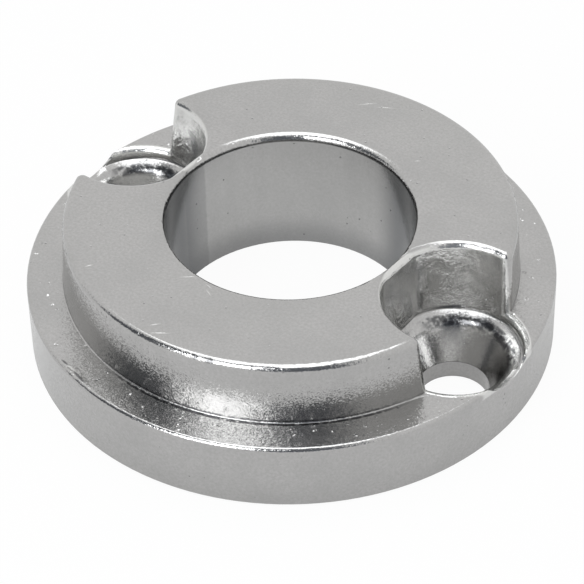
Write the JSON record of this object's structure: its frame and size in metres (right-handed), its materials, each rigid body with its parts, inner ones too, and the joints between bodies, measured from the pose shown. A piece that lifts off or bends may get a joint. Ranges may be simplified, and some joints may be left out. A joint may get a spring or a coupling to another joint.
{
  "type": "sacrificial anode",
  "caption": "Cast zinc ring anode: a wide flange and a stepped boss round a shaft bore, with open screw pockets and countersunk holes.",
  "frame": {"origin": "centre of the bore on the seating face", "axes": "+Z along the bore, from the seating face towards the boss; +X through the axis of a screw hole"},
  "size_m": [0.065, 0.065, 0.0173],
  "materials": {
    "cast_zinc": "satin as-cast zinc, light grey, with brighter rounded edges"
  },
  "bodies": {
    "root": {"anode_ring": "cast_zinc"}
  },
  "joints": []
}
